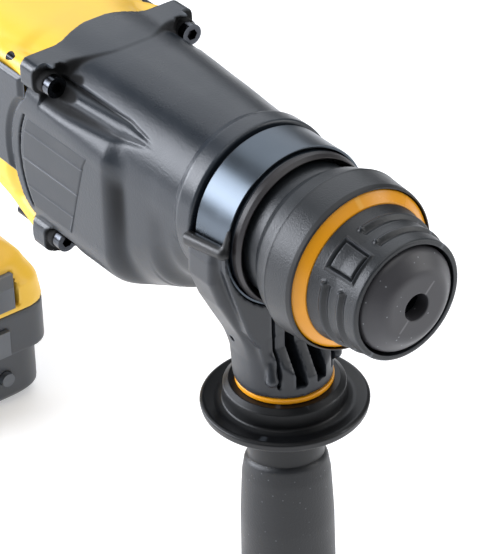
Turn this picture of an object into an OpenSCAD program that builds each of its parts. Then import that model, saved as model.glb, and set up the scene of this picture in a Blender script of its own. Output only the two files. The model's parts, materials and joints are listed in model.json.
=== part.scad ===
// Cordless rotary hammer with a keyless 10 mm chuck and a clamped side handle.
// +X points to the bit, +Z points up, and the origin is where the spindle bore opens.
// Millimetres throughout.

/* [Chuck] */
// Radius of the bore that takes the bit's shank
socket_r = 5; // [4.5:0.1:5]
// Length of the plain front stretch of that bore
socket_len = 14; // [10:1:15]
// Radius of the rubber dust cap
cap_r = 19.6; // [18:0.1:19.7]
// How far the dust cap's flat front stands ahead of the bore's mouth
cap_front = 5.1; // [3:0.1:6]
// Radius of the locking sleeve at its front rim
sleeve_front_r = 22; // [21.5:0.1:23]
// Largest radius of the locking sleeve's rear bell
bell_r = 30.9; // [30:0.1:31.5]
// Travel of the locking sleeve when it is pulled back
sleeve_travel = 7; // [5:0.5:7]

/* [Collar and gearcase] */
// Radius of the collar that the side handle clamps on
collar_r = 28.6; // [28:0.1:28.6]
// Place of the collar's front lip
collar_front = -56; // [-56:0.5:-55]
// Place of the gearcase's rear edge, where the motor housing starts
gearcase_rear = -171; // [-172:0.5:-171]
// Half width of the gearcase
gearcase_half_w = 34; // [33:0.5:36]
// Height of the gearcase's top above the spindle axis
gearcase_top = 29; // [28:0.5:31]
// Depth of the gearcase's bottom below the spindle axis
gearcase_bottom = 51; // [50:0.5:53]
// Half the distance between the left and right gearcase screws
screw_half_w = 29.5; // [28:0.5:30]
// Height of the upper gearcase screws
screw_top_z = 21; // [19:0.5:22]
// Height of the lower gearcase screws
screw_bottom_z = -43.3; // [-44:0.1:-42]

/* [Side handle] */
// Place of the side handle's axis along the tool
handle_x = -66.6; // [-66.8:0.1:-66.4]
// Thickness of the steel band
band_t = 1; // [0.8:0.1:1.2]
// Width of the steel band
band_w = 17.3; // [15:0.1:17.5]
// Radius of the clamp's round neck
neck_r = 17.2; // [16:0.1:18]
// Radius of the hand guard flange
guard_r = 30; // [28:0.5:32]
// Radius of the side grip
side_grip_r = 17.3; // [16:0.1:18]

/* [Drive] */
// Module of the spindle gear and its pinion
slow_module = 0.9; // [0.9]
// Module of the motor pinion and its gear
fast_module = 0.7; // [0.7]
// Teeth of the spindle gear
spindle_teeth = 48; // [48]
// Teeth of the pinion on the intermediate shaft
pinion_teeth = 12; // [12]
// Teeth of the gear on the intermediate shaft
gear_teeth = 44; // [44]
// Teeth of the motor pinion
motor_teeth = 10; // [10]
// Radius of the bore in which the piston and striker run
cylinder_bore_r = 11; // [10.9:0.05:11.1]
// Place of the wobble drive's centre
wobble_x = -142; // [-142]

/* [Motor and housing] */
// Outer radius of the stator
stator_r = 26; // [25:0.5:26]
// Place where the motor housing ends and the handle halves start
handle_front = -262; // [-264:0.5:-260]
// Travel of the trigger
trigger_travel = 7; // [4:0.5:7]
// Travel of the direction bar to each side
direction_travel = 3; // [2:0.5:3]
// Half width of the foot and the battery
foot_half_w = 36; // [35.5:0.1:37]

/* [Battery] */
// Place of the battery's front
battery_front = -273; // [-275:0.5:-271]
// Place of the battery's rear
battery_rear = -385; // [-387:0.5:-383]
// Height of the battery's underside
battery_bottom = -205; // [-206:0.5:-204]
// Height of the seam between the battery's two cases
battery_seam = -178; // [-179:0.5:-177]

/* [Hidden] */
$fn = 64;
hull_fn = 6;             // steps on each rounded corner of a hulled section
cut = 0.5;               // how far a cutting shape runs past a face
run_gap = 0.05;          // radial clearance of shafts, bores and bearings
gap = 0.3;               // clearance between pieces that move past each other

spindle_pitch_r = slow_module * spindle_teeth / 2;
pinion_pitch_r = slow_module * pinion_teeth / 2;
gear_pitch_r = fast_module * gear_teeth / 2;
motor_pitch_r = fast_module * motor_teeth / 2;
lay_z = -(spindle_pitch_r + pinion_pitch_r);         // intermediate shaft axis
motor_z = lay_z + gear_pitch_r + motor_pitch_r;      // motor axis
pressure_angle = 25;
stub = 0.8;              // tooth height above the pitch circle, in modules
root = 1.1;              // tooth depth below the pitch circle, in modules
backlash = 0.12;         // thinning of each tooth

holder_r = 12.5;         // spindle under the locking sleeve
nose_r = 10;             // spindle end that carries the dust cap
barrel_r = 15;           // spindle in the collar bearing
rear_barrel_r = 14;      // spindle in the rear bush
spring_shoulder_x = -47.3;
spindle_rear = -130;
clutch_x = -80;          // front face of the clutch flange
clutch_r = 18.3;
gear_front = -100;
gear_rear = -110;
ball_x = -24;            // locking balls
ball_r = 3.9;
lock_ring_x = -20;
lock_ring_len = 8;

recess_r = 27.2;         // collar recess that takes the bell's skirt
hub_r = 22;              // bearing hub inside that recess
bearing_r = 20;          // seat of the seal and the front bearing
band_in_r = collar_r + 0.1;
band_out_r = band_in_r + band_t;
band_front = handle_x + band_w / 2;
band_rear = handle_x - band_w / 2;
yoke_front = collar_front - 1;
yoke_rear = -76.2;
bulge_front = -76.5;
floor_z = battery_bottom;
flange_z = -74.3;        // top of the hand guard flange
grip_top_z = -66.8;
bolt_r = 4;
selector_x = -135;
selector_z = -12;
selector_r = 15;

stroke_angle = 15;       // rocking of the wobble ring to each side
shaft_r = 5;             // intermediate shaft
hub_ball_r = 8.6;        // ball-shaped hub of the wobble drive
wobble_ball_r = 2;
wobble_ball_ring_r = 10.7;
tip_r = 4.2;             // ball on the wobble finger
motor_shaft_r = 3.95;

trigger_z = [-85, -52];
trigger_half_w = 8.5;
direction_x = -288;
direction_z = -43.5;
rail_z = -157.4;         // underside of the foot
slot_half_w = 14;        // neck of the battery's T slot
shoe_half_w = 19;        // flange of the rail in that slot

plastic_grey = "#454a51";
sleeve_grey = "#3b3f44";
rubber_black = "#2e2f32";
shell_yellow = "#f9cf3f";
steel = "#a9adb2";
dark_steel = "#4d5156";
copper = "#b87333";
cell_green = "#4f8f6a";

// ---- shared shapes ----

// Turns a shape drawn along Z so that it lies along X, with its own X across the tool.
module along_x() {
    rotate([90, 0, 90]) children();
}

// Solid rod along the tool between two places
module rod_x(r, rear, front) {
    translate([rear, 0, 0]) along_x() cylinder(r = r, h = front - rear);
}

// Tube along the tool between two places
module tube_x(r_out, r_in, rear, front) {
    difference() {
        rod_x(r_out, rear, front);
        rod_x(r_in, rear - cut, front + cut);
    }
}

// Outline of [radius, place] points turned about the spindle axis
module turned(points) {
    along_x() rotate_extrude() polygon(points);
}

// Points of an ellipse's arc from one angle to another
function arc(cx, cy, rx, ry, from, to, steps) =
    [for (i = [0:steps]) let (a = from + (to - from) * i / steps)
        [cx + rx * cos(a), cy + ry * sin(a)]];

// Outline of a rectangle from low to high with round corners
function rounded(low, high, r) = concat(
    arc(high[0] - r, high[1] - r, r, r, 0, 90, hull_fn),
    arc(low[0] + r, high[1] - r, r, r, 90, 180, hull_fn),
    arc(low[0] + r, low[1] + r, r, r, 180, 270, hull_fn),
    arc(high[0] - r, low[1] + r, r, r, 270, 360, hull_fn));

// Thin upright slice across the tool at x, for a hull
module slice_x(x, half_w, low_z, high_z, r) {
    translate([x, 0, 0]) along_x() linear_extrude(0.1)
        polygon(rounded([-half_w, low_z], [half_w, high_z], r));
}

// Thin level slice at height z, for a hull
module slice_z(z, low_x, high_x, half_w, r) {
    translate([0, 0, z]) linear_extrude(0.1)
        polygon(rounded([low_x, -half_w], [high_x, half_w], r));
}

// Involute of an angle, in degrees
function involute(a) = (tan(a) - a * PI / 180) * 180 / PI;

// One flank of a tooth: the tooth's half angle at each of five radii
function flank(teeth, mod, side, middle) =
    let (pitch_r = mod * teeth / 2, base_r = pitch_r * cos(pressure_angle),
        tip = pitch_r + stub * mod, foot = pitch_r - root * mod, low = max(base_r, foot),
        pitch_half = 90 / teeth - backlash / 4 / pitch_r * 180 / PI)
    [for (i = [0:5])
        let (r = i == 0 ? foot : low + (tip - low) * (i - 1) / 4,
            at = max(r, low),
            half = pitch_half + involute(pressure_angle) - involute(acos(base_r / at)),
            a = middle + side * half)
        [r * cos(a), r * sin(a)]];

// Outline of a spur gear with its first tooth at the given angle
function gear_outline(teeth, mod, first = 0) =
    [for (t = [0:teeth - 1]) let (middle = first + 360 * t / teeth)
        each concat(flank(teeth, mod, -1, middle),
            [for (i = [5:-1:0]) flank(teeth, mod, 1, middle)[i]])];

// Spur gear along the tool, centred on height z
module gear_x(teeth, mod, rear, front, z, first = 0) {
    translate([rear, 0, z]) along_x() linear_extrude(front - rear)
        polygon(gear_outline(teeth, mod, first));
}

// Helical spring of round wire along X, from x = 0 to len
module coil_x(r, wire_r, turns, len) {
    sides = 8;
    rings = turns * 18;
    pitch = (len - 2 * wire_r) / rings;
    points = [for (i = [0:rings]) for (k = [0:sides - 1])
        let (a = 360 * i * turns / rings, b = 360 * k / sides, rr = r + wire_r * cos(b))
        [wire_r + pitch * i + wire_r * sin(b), rr * cos(a), rr * sin(a)]];
    side_faces = [for (i = [0:rings - 1]) for (k = [0:sides - 1])
        let (n = (k + 1) % sides)
        [i * sides + k, (i + 1) * sides + k, (i + 1) * sides + n, i * sides + n]];
    ends = [[for (k = [0:sides - 1]) k],
        [for (k = [sides - 1:-1:0]) rings * sides + k]];
    polyhedron(points, concat(side_faces, ends));
}

// ---- chuck and spindle ----

module spindle() {
    impact_bore_r = 9.05;
    impact_bore_front = -56;
    impact_bore_rear = -79.5;
    relief_r = 5.3;
    relief_rear = -46;
    tappet_bore_r = 7.1;
    color(steel) difference() {
        union() {
            difference() {
                union() {
                    rod_x(nose_r, -8, 0);
                    rod_x(holder_r, spring_shoulder_x, -8);
                    rod_x(17, spring_shoulder_x - 2.5, spring_shoulder_x);
                    rod_x(barrel_r, gear_rear - 1.5, spring_shoulder_x - 2.5);
                    rod_x(clutch_r, clutch_x - 2.5, clutch_x);
                    rod_x(rear_barrel_r, spindle_rear, gear_rear - 1.5);
                }
                rod_x(relief_r, relief_rear, -socket_len);
            }
            // drive keys that fit the shank's slots
            for (side = [-1, 1])
                translate([-40, -1.3, side > 0 ? 4.2 : -6.2]) cube([24, 2.6, 2]);
        }
        rod_x(socket_r, -socket_len, cut);
        rod_x(tappet_bore_r, impact_bore_front, relief_rear);
        rod_x(impact_bore_r, impact_bore_rear, impact_bore_front);
        rod_x(cylinder_bore_r, spindle_rear - cut, impact_bore_rear);
        // windows for the locking balls
        for (side = [0, 180]) rotate([side, 0, 0])
            translate([ball_x, -4.5, 0]) rotate([90, 0, 0])
                cylinder(r = ball_r + run_gap, h = holder_r);
        // air holes of the hammer mechanism
        for (a = [45:90:315]) rotate([a, 0, 0]) translate([-114, 0, 5])
            cylinder(r = 1.5, h = barrel_r);
    }
}

module dust_cap() {
    hole_r = socket_r + 0.6;
    flat_r = 12.5;
    wall = 2.2;
    color(rubber_black) turned(concat(
        [[hole_r, 0], [hole_r, cap_front]],
        [for (p = arc(flat_r, -1, cap_r - flat_r, cap_front + 1, 90, 0, 10)) p],
        [[cap_r, -9], [cap_r - wall, -9], [cap_r - wall, -3], [13, -3], [13, -8],
            [nose_r, -8], [nose_r, 0]]));
}

module locking_balls() {
    color(steel) for (side = [-1, 1])
        translate([ball_x, side * (holder_r + run_gap - ball_r), 0]) sphere(r = ball_r);
}

module front_sleeve() {
    rim = 1.2;
    rib_x = [-7.3, -14.5];
    spigot_r = 22.4;
    spigot_rear = -31;
    pad_angle = 133;
    color(sleeve_grey) difference() {
        union() {
            turned(concat(
                [[20.1, 0]], arc(sleeve_front_r - rim, -rim, rim, rim, 90, 0, 4),
                [[22.8, -11], [25.3, -21], [spigot_r, -21], [spigot_r, spigot_rear],
                    [17.5, spigot_rear], [17.5, lock_ring_x - lock_ring_len - 0.1],
                    [19.4, lock_ring_x - lock_ring_len - 0.1], [19.4, lock_ring_x + 0.2],
                    [20.1, lock_ring_x + 0.2]]));
            for (x = rib_x) turned(arc(22.3, x, 1.6, 1.2, 90, -90, 6));
        }
        // the ribs stop where the square pad is
        rotate([pad_angle - 90, 0, 0]) translate([-17.5, -7, 23.2]) cube([14.5, 14, 4]);
    }
}

module sleeve_ring() {
    color(shell_yellow)
        turned([[22.5, -21.05], [25.5, -21.05], [28.5, -24.1], [28.5, -27.1], [22.5, -27.1]]);
}

module rear_sleeve() {
    wall = 1.6;
    skirt_rear = collar_front - 1;
    outer = concat([[28.6, -23], [29.6, -23.2]], arc(bell_r - 1.2, -36, 1.2, 11, 80, 0, 4),
        [[30.4, -40], [28.7, -44.5], [26.7, -50], [26, skirt_rear]]);
    color(sleeve_grey) turned(concat(outer,
        [[26 - wall, skirt_rear], [26.7 - wall, -50], [28.7 - wall - 1, -43],
            [28.2, -37], [28.2, -31], [22.5, -31], [22.5, -27.15], [28.6, -27.15]]));
}

module lock_ring() {
    color(steel) tube_x(19.35, holder_r + 2 * run_gap, lock_ring_x - lock_ring_len, lock_ring_x);
}

module sleeve_spring() {
    rest_len = lock_ring_x - lock_ring_len - spring_shoulder_x - 0.4;
    color(steel) translate([spring_shoulder_x + 0.2, 0, 0]) coil_x(14.6, 0.9, 4, rest_len);
}

module spindle_gear() {
    color(dark_steel) difference() {
        gear_x(spindle_teeth, slow_module, gear_rear, gear_front, 0);
        rod_x(barrel_r, gear_rear - cut, gear_front + cut);
    }
}

module clutch_ring() {
    color(dark_steel) tube_x(clutch_r, barrel_r, gear_front + 0.3, gear_front + 5);
}

module clutch_spring() {
    front = clutch_x - 2.5;
    color(steel) translate([gear_front + 5.1, 0, 0])
        coil_x(16.7, 1.2, 3, front - gear_front - 5.2);
}

module gear_circlip() {
    color(steel) difference() {
        tube_x(17.5, barrel_r, gear_rear - 1.4, gear_rear - 0.2);
        translate([gear_rear - 2, -2, 10]) cube([3, 4, 10]);
    }
}

module impact_bolt() {
    color(steel) {
        rod_x(7, -57, -48);
        rod_x(9, -70, -57);
        rod_x(6.4, -76, -70);
    }
}

module striker() {
    color(steel) {
        rod_x(cylinder_bore_r - run_gap, -108, -92);
        rod_x(6, -92, -84);
    }
}

module piston() {
    tang_r = 6.2;
    tang_half_w = 7;
    slot_half = tip_r + 0.25;
    color(steel) difference() {
        union() {
            rod_x(cylinder_bore_r - run_gap, wobble_x + 6, wobble_x + 24);
            translate([wobble_x, -tang_half_w, -tang_r]) cube([8, 2 * tang_half_w, 2 * tang_r]);
            translate([wobble_x, tang_half_w, 0]) rotate([90, 0, 0])
                cylinder(r = tang_r, h = 2 * tang_half_w);
        }
        translate([wobble_x - slot_half, -slot_half - 0.15, -tang_r - cut])
            cube([2 * slot_half, 2 * slot_half + 0.3, 2 * tang_r + 2 * cut]);
    }
}

// ---- wobble drive, intermediate shaft and motor ----

module wobble_ring() {
    outer_r = 14;
    half_w = 4;
    socket_ball_r = hub_ball_r + 0.4;
    groove_r = wobble_ball_ring_r + wobble_ball_r + run_gap;
    groove_half = wobble_ball_r + run_gap;
    edge_angle = asin(half_w / socket_ball_r);
    groove_angle = asin(groove_half / socket_ball_r);
    color(dark_steel) {
        translate([wobble_x, 0, lay_z]) along_x() rotate_extrude() polygon(concat(
            arc(0, 0, socket_ball_r, socket_ball_r, -edge_angle, -groove_angle, 4),
            [[groove_r, -groove_half], [groove_r, groove_half]],
            arc(0, 0, socket_ball_r, socket_ball_r, groove_angle, edge_angle, 4),
            [[outer_r, half_w], [outer_r, -half_w]]));
        translate([wobble_x, 0, lay_z + outer_r - 0.5]) cylinder(r = 2.2, h = -lay_z - outer_r);
        translate([wobble_x, 0, 0]) sphere(r = tip_r);
    }
}

module wobble_balls() {
    count = 9;
    color(steel) for (i = [0:count - 1])
        translate([wobble_x, 0, lay_z]) rotate([360 * i / count, 0, 0])
            translate([0, 0, wobble_ball_ring_r]) sphere(r = wobble_ball_r);
}

module intermediate_shaft() {
    front_journal_r = 3.45;
    rear_journal_r = 3.95;
    color(steel) {
        translate([0, 0, lay_z]) {
            rod_x(front_journal_r, gear_rear - 1, -91);
            rod_x(shaft_r, -163, gear_rear - 0.5);
            rod_x(rear_journal_r, -169.5, -163);
            translate([wobble_x, 0, 0]) sphere(r = hub_ball_r);
        }
        gear_x(pinion_teeth, slow_module, gear_rear - 1, gear_front, lay_z, 180 / pinion_teeth);
    }
}

module intermediate_gear() {
    color(dark_steel) difference() {
        gear_x(gear_teeth, fast_module, -162, -156.3, lay_z, 90);
        translate([0, 0, lay_z]) {
            rod_x(shaft_r, -163, -155);
            for (a = [0:60:300]) rotate([a, 0, 0]) translate([-163, 0, 10]) along_x()
                cylinder(r = 2.6, h = 8);
        }
    }
}

module rotor_shaft() {
    color(steel) {
        gear_x(motor_teeth, fast_module, -163, -155.8, motor_z);
        translate([0, 0, motor_z]) rod_x(motor_shaft_r, -246, -163);
    }
}

module rotor_core() {
    color(dark_steel) translate([0, 0, motor_z]) tube_x(13, motor_shaft_r, -231, -191);
}

module motor_fan() {
    blades = 11;
    fan_r = 24;
    color(rubber_black) translate([0, 0, motor_z]) {
        tube_x(8, motor_shaft_r, -186, -175);
        tube_x(fan_r, 7, -186, -184.4);
        for (i = [0:blades - 1]) rotate([360 * i / blades, 0, 0])
            translate([-185, -0.7, 7]) cube([9, 1.4, fan_r - 8]);
    }
}

module stator_core() {
    slots = 6;
    bore_r = 13.6;
    color(dark_steel) translate([0, 0, motor_z]) difference() {
        tube_x(stator_r, bore_r, -232, -190);
        for (i = [0:slots - 1]) rotate([360 * i / slots, 0, 0])
            translate([-232 - cut, -3.5, bore_r + 1.2]) cube([42 + 2 * cut, 7, 6.5]);
    }
}

module stator_coils() {
    coils = 6;
    color(copper) translate([0, 0, motor_z])
        for (i = [0:coils - 1]) rotate([360 * i / coils, 0, 0])
            translate([-235.5, -3, 15]) cube([48.2, 6, 6]);
}

module intermediate_bearings() {
    color(steel) translate([0, 0, lay_z]) {
        tube_x(7, 3.5, -97.5, -92.5);
        tube_x(8, 4, -169, -164);
    }
}

module motor_bearings() {
    color(steel) translate([0, 0, motor_z]) {
        tube_x(9.5, 4, -170.5, -164.5);
        tube_x(8, 4, -245, -240);
    }
}

// ---- gearcase ----

// Outside of the gearcase: round collar flaring into an egg-shaped box
module gearcase_outside() {
    front_low = 40;
    rod_x(collar_r, bulge_front - 2, collar_front);
    turned([[0, bulge_front], [30.6, bulge_front], [31.5, -78], [31.5, -86], [29, -95], [0, -95]]);
    hull() {
        slice_x(-87, 29.5, -31, 29.4, 29);
        slice_x(-100, 31, -front_low - 5, 29.2, 27);
    }
    hull() {
        slice_x(-100, 31, -front_low - 5, 29.2, 27);
        slice_x(-116, 33, 2 - gearcase_bottom, 29.4, 27);
    }
    hull() {
        slice_x(-116, 33, 2 - gearcase_bottom, 29.4, 27);
        slice_x(-140, gearcase_half_w, -gearcase_bottom, gearcase_top, 27);
    }
    hull() {
        slice_x(-140, gearcase_half_w, -gearcase_bottom, gearcase_top, 27);
        slice_x(gearcase_rear, gearcase_half_w, -gearcase_bottom, gearcase_top, 22);
    }
    for (y = [-screw_half_w, screw_half_w], z = [screw_top_z, screw_bottom_z])
        translate([gearcase_rear, y, z]) along_x() cylinder(r = 6, h = 12);
}

// Room for the gears: round about the spindle, with a lower bay for the shaft
module gear_room(clearance = 0) {
    rod_x(24.5 - clearance, gearcase_rear - cut, gear_front + 1.5);
    translate([0, 0, lay_z]) rod_x(18.5 - clearance, gearcase_rear - cut, -125);
    translate([gearcase_rear - cut, -18.5 + clearance, lay_z])
        cube([46 + cut, 37 - 2 * clearance, -lay_z]);
    translate([0, 0, lay_z]) rod_x(10, -126, gear_front + 1.5);
}

module gearcase() {
    screw_r = 2.1;
    color(plastic_grey) difference() {
        gearcase_outside();
        tube_x(recess_r, hub_r, -67, collar_front + cut);
        rod_x(barrel_r + 0.4, -60, collar_front + cut);
        rod_x(bearing_r, -77, -57.5);
        rod_x(clutch_r + 0.5, gear_front, -76);
        gear_room();
        translate([0, 0, lay_z]) {
            rod_x(7, gear_front, -92.5);
            rod_x(4.2, gear_front, -90.5);
        }
        for (y = [-screw_half_w, screw_half_w], z = [screw_top_z, screw_bottom_z])
            translate([gearcase_rear - cut, y, z]) along_x() {
                cylinder(r = screw_r, h = 13);
                translate([0, 0, 12 - gap]) cylinder(r = 4.3, h = 4.5 + gap);
            }
        // seat of the mode selector
        translate([selector_x, 31.5, selector_z]) rotate([-90, 0, 0])
            cylinder(r = selector_r + gap, h = 10);
    }
}

module gearcase_screws() {
    head_x = gearcase_rear + 12;
    color(dark_steel) for (y = [-screw_half_w, screw_half_w], z = [screw_top_z, screw_bottom_z])
        translate([0, y, z]) difference() {
            union() {
                rod_x(2, gearcase_rear - 14, head_x + 1);
                rod_x(4, head_x, head_x + 3.4);
            }
            translate([head_x + 1.6, 0, 0]) along_x() cylinder(r = 2.2, h = 3, $fn = 6);
        }
}

module side_pad() {
    pad_low = -30;
    pad_high = 6;
    pad_out = gearcase_half_w + 0.05;
    pad_thick = 1.15;
    color(rubber_black) translate([0, -pad_out, 0]) rotate([90, 0, 0])
        difference() {
            linear_extrude(pad_thick) polygon([[-168, pad_low + 4], [-165, pad_low],
                [-137, pad_low], [-129, pad_high - 6], [-133, pad_high], [-168, pad_high]]);
            // three shallow grooves across the pad
            for (z = [1.5, -11, -22]) translate([-164, z, 0.75]) cube([27, 0.9, 1]);
        }
}

module front_bearing() {
    color(steel) tube_x(bearing_r, barrel_r + run_gap, -76.5, -61.5);
}

module spindle_seal() {
    color(rubber_black) tube_x(bearing_r, barrel_r + run_gap, -61.2, -57.5);
}

module rear_bush() {
    color("#b5893c") tube_x(18, rear_barrel_r + run_gap, -129, -120);
}

// Carrier behind the gears: it holds both rear bearings, and its arm holds the rear bush
module inner_frame() {
    plate_front = -163.2;
    color("#8d9095") difference() {
        union() {
            intersection() {
                gear_room(0.1);
                rod_x(60, gearcase_rear, plate_front);
            }
            intersection() {
                tube_x(24.3, 18, plate_front - 1, -119.5);
                translate([-170, -20, 13]) cube([60, 40, 20]);
            }
            tube_x(20.4, 18, -129.5, -119.5);
        }
        translate([0, 0, lay_z]) {
            rod_x(8, -169, plate_front + cut);
            rod_x(4.6, gearcase_rear - cut, plate_front);
        }
        translate([0, 0, motor_z]) {
            rod_x(9.5, -170.5, plate_front + cut);
            rod_x(4.6, gearcase_rear - cut, plate_front);
        }
    }
}

module mode_selector() {
    color(shell_yellow) translate([selector_x, 31.8, selector_z]) rotate([-90, 0, 0]) {
        cylinder(r = selector_r, h = 3);
        translate([-selector_r + 1, -3, 0]) cube([2 * selector_r - 2, 6, 7.2]);
    }
}

// ---- side handle ----

module handle_band() {
    color(dark_steel) tube_x(band_out_r, band_in_r, band_rear, band_front);
}

// Outline of the clamp seen along the tool, one side
function cheek() = [[0, -62], [14.6, -62], [16.4, -50], [20, -42], [24.5, -33.5],
    [30.2, -22.5], [34, -12], [33.6, -4], [31.8, 0.5], [0, 0.5]];

module handle_yoke() {
    fin_y = [-10, -0.8, 8];
    color(plastic_grey) difference() {
        union() {
            for (side = [0, 1]) mirror([0, side, 0])
                translate([yoke_rear, 0, 0]) along_x() linear_extrude(yoke_front - yoke_rear)
                    polygon(cheek());
            translate([handle_x, 0, -64.4]) cylinder(r = neck_r, h = 20);
            for (y = fin_y) translate([handle_x, y - 2, -60]) cube([16.4, 4, 24]);
        }
        rod_x(band_out_r + run_gap, yoke_rear - cut, yoke_front + 8);
        translate([handle_x, 0, -70]) cylinder(r = bolt_r + 0.3, h = 40);
        // pocket of the bolt's T head
        translate([handle_x - 7.3, -3.3, -33.3]) cube([14.6, 6.6, 5]);
        // gaps between the fins
        for (y = [-5.4, 3.6, 12.6]) translate([handle_x + 9, y - 2.3, -59])
            cube([12, 4.6, 26]);
    }
}

module handle_bolt() {
    color(steel) {
        translate([handle_x, 0, -118]) cylinder(r = bolt_r, h = 118 - band_out_r);
        translate([handle_x - 7, -3, -33]) cube([14, 6, 33 - band_out_r - 0.1]);
    }
}

module handle_nut() {
    color(steel) translate([handle_x, 0, -96]) difference() {
        cylinder(r = 7.5, h = 8, $fn = 6);
        translate([0, 0, -cut]) cylinder(r = bolt_r + run_gap, h = 9 + cut);
    }
}

module handle_ring() {
    color(shell_yellow) translate([handle_x, 0, grip_top_z]) difference() {
        cylinder(r = 17.6, h = 2);
        translate([0, 0, -cut]) cylinder(r = bolt_r + run_gap, h = 3);
    }
}

module side_grip() {
    hub_top_r = 19.6;
    edge = 2.5;
    color(rubber_black) difference() {
        translate([handle_x, 0, 0]) rotate_extrude() polygon(concat(
            [[0, grip_top_z - 0.1], [hub_top_r, grip_top_z - 0.1], [20.6, -72], [22.4, flange_z]],
            arc(guard_r - edge, flange_z - edge, edge, edge, 90, -90, 8),
            [[17, -80], [14.4, -88], [14, -98], [15.6, -104], [17, -126], [side_grip_r, -150],
                [side_grip_r, -190], [16.8, -198]],
            arc(13, floor_z + 4, 3, 4, 0, -90, 4), [[0, floor_z]]));
        translate([handle_x, 0, -140]) cylinder(r = bolt_r + run_gap, h = 80);
        translate([handle_x, 0, -96]) cylinder(r = 7.5, h = 8, $fn = 6);
    }
}

// ---- motor housing and main handle ----

module motor_housing() {
    low = -47;
    high = 28;
    color(shell_yellow) difference() {
        union() {
            hull() {
                slice_x(gearcase_rear - 0.1, gearcase_half_w, low, high, 22);
                slice_x(-235, gearcase_half_w - 0.5, low, high - 0.5, 22);
                slice_x(handle_front, gearcase_half_w - 2.5, low + 2, high - 3, 22);
            }
            for (y = [-1, 1], z = [screw_top_z, screw_bottom_z]) hull() {
                translate([0, y * screw_half_w, z]) rod_x(6, gearcase_rear - 8, gearcase_rear - 0.05);
                translate([0, y * (screw_half_w - 8), z * 0.8]) rod_x(4, gearcase_rear - 24,
                    gearcase_rear - 0.05);
            }
        }
        translate([0, 0, motor_z]) {
            rod_x(stator_r, -238, gearcase_rear + cut);
            rod_x(8, -246, -237);
            rod_x(20, handle_front - cut, -246.5);
            // ways for the motor leads
            for (y = [-9, 0, 9]) translate([0, y, 14]) rod_x(1.6, -248, -236);
        }
        for (y = [-screw_half_w, screw_half_w], z = [screw_top_z, screw_bottom_z])
            translate([0, y, z]) rod_x(2, -186, gearcase_rear + cut);
        // cooling slots on both sides
        for (x = [-228:8:-196], side = [-1, 1])
            translate([x, side * 30 - 7, motor_z - 14]) cube([3, 14, 28]);
    }
}

// Outside of the rear head, the grip and the foot
module handle_outside() {
    grip_top = [-334, -287];
    grip_low = [-344, -301];
    hull() {
        slice_x(handle_front - 0.1, gearcase_half_w - 2.5, -45, 25, 22);
        slice_x(-298, 24, -44, 17, 18);
    }
    hull() {
        slice_x(-298, 24, -44, 17, 18);
        slice_x(-322, 17, -30, 4, 12);
        slice_z(-48, grip_top[0], grip_top[1], 19.5, 14);
    }
    hull() {
        slice_z(-48, grip_top[0], grip_top[1], 19.5, 14);
        slice_z(-128, grip_low[0], grip_low[1], 17.5, 14);
    }
    hull() {
        slice_z(-128, grip_low[0], grip_low[1], 17.5, 14);
        slice_z(-134, -362, -286, 25, 12);
    }
    hull() {
        slice_z(-134, -362, -286, 25, 12);
        slice_z(-144, -381, -275.5, 34, 14);
        slice_z(rail_z, battery_rear + 1, battery_front, foot_half_w, 12);
    }
}

// Room inside the rear head, the grip and the foot
module handle_room() {
    translate([-310, -18, -37]) cube([48.5, 36, 42]);
    translate([-275, -12, 3]) cube([13.5, 24, 5.5]);
    translate([-331, -13.5, -158]) cube([28, 27, 124]);
    translate([-376, -20, rail_z - cut]) cube([86, 40, 9]);
    // mouth of the trigger
    translate([-304, -trigger_half_w - gap, trigger_z[0] - gap])
        cube([34, 2 * (trigger_half_w + gap), trigger_z[1] - trigger_z[0] + 2 * gap]);
    // way of the direction bar
    translate([direction_x - 4 - gap, -40, direction_z - 3.5 - gap])
        cube([8 + 2 * gap, 80, 7 + 2 * gap]);
    // seat of the bezel
    translate([-281, -20, -155]) cube([10, 40, 14]);
    for (p = handle_screw_places()) translate([p[0], -40, p[1]]) rotate([-90, 0, 0])
        cylinder(r = 1.8, h = 80);
}

function handle_screw_places() = [[-270, 12], [-270, -39.5], [-325, -46], [-336, -128.5],
    [-297, -134], [-370, -144]];

// One half of the handle: side is -1 for the right half and 1 for the left half
module handle_half(side) {
    render() difference() {
        handle_outside();
        handle_room();
        translate([-400, side > 0 ? -100 : 0, -170]) cube([150, 100, 220]);
        // counterbores of the screws, on the right side only
        if (side < 0) for (p = handle_screw_places())
            translate([p[0], -50, p[1]]) rotate([-90, 0, 0]) cylinder(r = 3.4, h = 38.2);
    }
}

module handle_left() {
    color(shell_yellow) handle_half(1);
}

module handle_right() {
    color(shell_yellow) handle_half(-1);
}

module handle_screws() {
    color(dark_steel) for (p = handle_screw_places())
        translate([p[0], -14, p[1]]) rotate([-90, 0, 0]) {
            cylinder(r = 1.75, h = 22);
            difference() {
                cylinder(r = 3.1, h = 2.1);
                translate([0, 0, -cut]) cylinder(r = 1.4, h = 1.5 + cut, $fn = 6);
            }
        }
}

module grip_rubber() {
    skin = 1.6;
    color(rubber_black) difference() {
        hull() {
            slice_z(-52, -334 - skin, -300, 19.5 + skin, 14);
            slice_z(-124, -343.5 - skin, -312, 17.6 + skin, 14);
        }
        hull() {
            slice_z(-48, -334, -287, 19.5, 14);
            slice_z(-128, -344, -301, 17.5, 14);
        }
        translate([-308, -30, -130]) cube([30, 60, 90]);
    }
}

module trigger() {
    face_x = -274;
    color(rubber_black) difference() {
        translate([-296, trigger_half_w, 0]) rotate([90, 0, 0])
            linear_extrude(2 * trigger_half_w) polygon(concat(
                [[0, trigger_z[0]], [12, trigger_z[0]]],
                arc(face_x + 296, (trigger_z[0] + trigger_z[1]) / 2, 3.5, 15, -80, -280, 10),
                [[12, trigger_z[1]], [0, trigger_z[1]]]));
        translate([-296.5, 0, -68]) along_x() cylinder(r = 4.6, h = 6);
    }
}

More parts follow.
